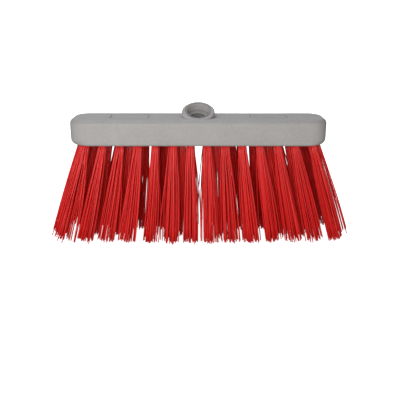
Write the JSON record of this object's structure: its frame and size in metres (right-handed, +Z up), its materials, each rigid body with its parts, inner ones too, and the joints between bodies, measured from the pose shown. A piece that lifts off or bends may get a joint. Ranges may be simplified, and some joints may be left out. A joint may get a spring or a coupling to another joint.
{
  "type": "push broom head",
  "caption": "Broom head: rounded moulded block with a tilted threaded handle socket and rows of long flared stiff bristle tufts held by wire anchors.",
  "frame": {"origin": "on the floor, under the middle of the block, level with the trimmed bristle tips", "axes": "+X along the block's length, -Y the front that the handle socket leans towards, +Z up out of the block's top"},
  "size_m": [0.3686, 0.0862, 0.1614],
  "materials": {
    "block_plastic": "light warm grey moulded polypropylene, fine moulded grain",
    "filament": "bright red extruded polyester filament, satin gloss",
    "anchor_wire": "bright stainless flat wire"
  },
  "bodies": {
    "root": {"block": "block_plastic", "tuft_front_01": "filament", "tuft_front_02": "filament", "tuft_front_03": "filament", "tuft_front_04": "filament", "tuft_front_05": "filament", "tuft_front_06": "filament", "tuft_front_07": "filament", "tuft_front_08": "filament", "tuft_front_09": "filament", "tuft_front_10": "filament", "tuft_front_11": "filament", "tuft_front_12": "filament", "tuft_front_13": "filament", "tuft_front_14": "filament", "tuft_front_inner_01": "filament", "tuft_front_inner_02": "filament", "tuft_front_inner_03": "filament", "tuft_front_inner_04": "filament", "tuft_front_inner_05": "filament", "tuft_front_inner_06": "filament", "tuft_front_inner_07": "filament", "tuft_front_inner_08": "filament", "tuft_front_inner_09": "filament", "tuft_front_inner_10": "filament", "tuft_back_inner_01": "filament", "tuft_back_inner_02": "filament", "tuft_back_inner_03": "filament", "tuft_back_inner_04": "filament", "tuft_back_inner_05": "filament", "tuft_back_inner_06": "filament", "tuft_back_inner_07": "filament", "tuft_back_inner_08": "filament", "tuft_back_01": "filament", "tuft_back_02": "filament", "tuft_back_03": "filament", "tuft_back_04": "filament", "tuft_back_05": "filament", "tuft_back_06": "filament", "tuft_back_07": "filament", "tuft_back_08": "filament", "tuft_back_09": "filament", "tuft_back_10": "filament", "tuft_back_11": "filament", "tuft_back_12": "filament", "tuft_back_13": "filament", "tuft_back_14": "filament", "tuft_anchors": "anchor_wire"}
  },
  "joints": []
}
